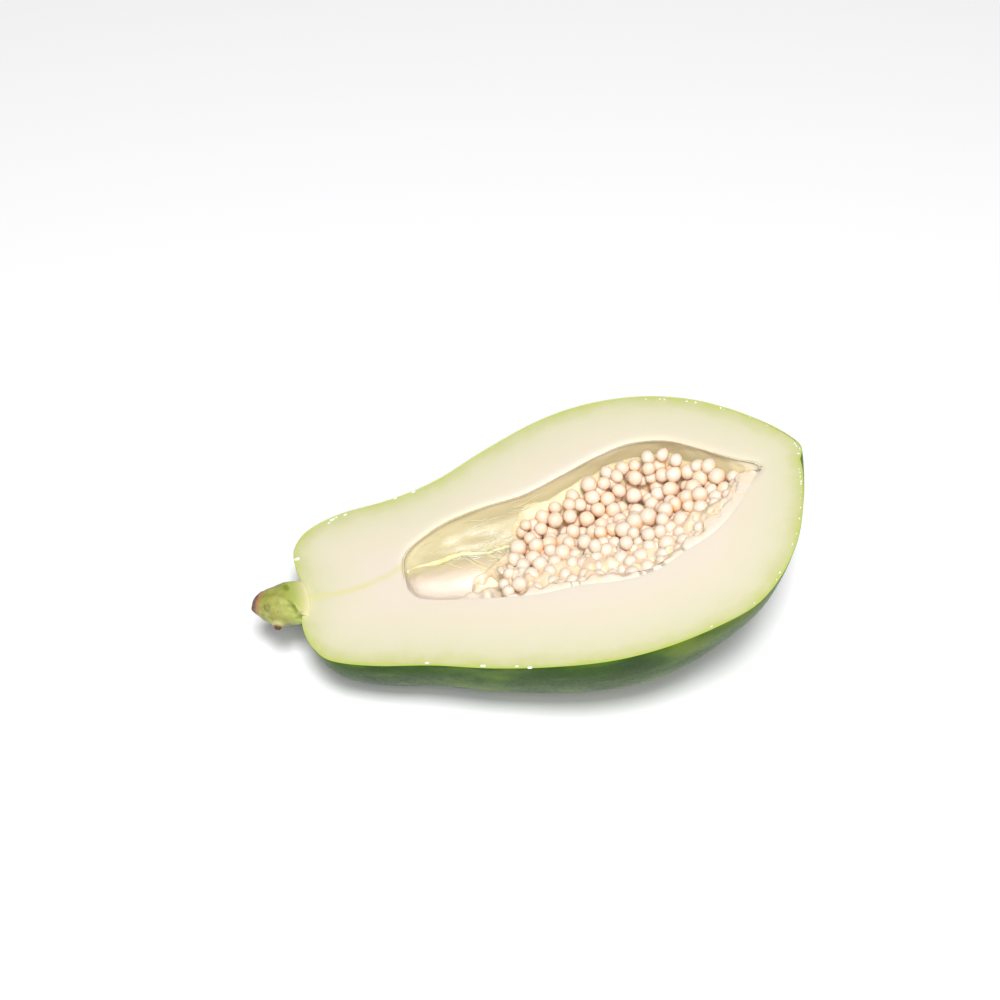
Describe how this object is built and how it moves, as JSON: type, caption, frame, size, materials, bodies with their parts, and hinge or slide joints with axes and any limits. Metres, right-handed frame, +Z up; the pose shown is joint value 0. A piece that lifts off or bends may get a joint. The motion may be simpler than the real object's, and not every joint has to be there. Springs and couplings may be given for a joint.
{
  "type": "papaya half",
  "caption": "Half of a green papaya, cut lengthwise, with pale flesh, an open cavity lined with round white seeds, and a stalk stub; it rests on its skin.",
  "frame": {"origin": "middle of the footprint, on the surface that the half fruit rests on", "axes": "+X along the fruit from the stalk to the blossom end, +Y to the far side of the cut face as seen from the picture's side, +Z up"},
  "size_m": [0.2217, 0.1265, 0.0829],
  "materials": {
    "flesh": "moist cut flesh, cream at the middle and pale green towards the rim, soft sheen",
    "skin": "smooth waxy green skin, mottled darker and lighter, satin gloss",
    "seed": "wet translucent coat over a cream to pinkish white bead, glossy",
    "lining": "soft moist white tissue with fine fibres",
    "stalk": "fleshy green stub, rough, with brown corky scars"
  },
  "bodies": {
    "root": {"half_fruit": "flesh", "seeds": "seed", "stalk": "stalk"}
  },
  "joints": []
}
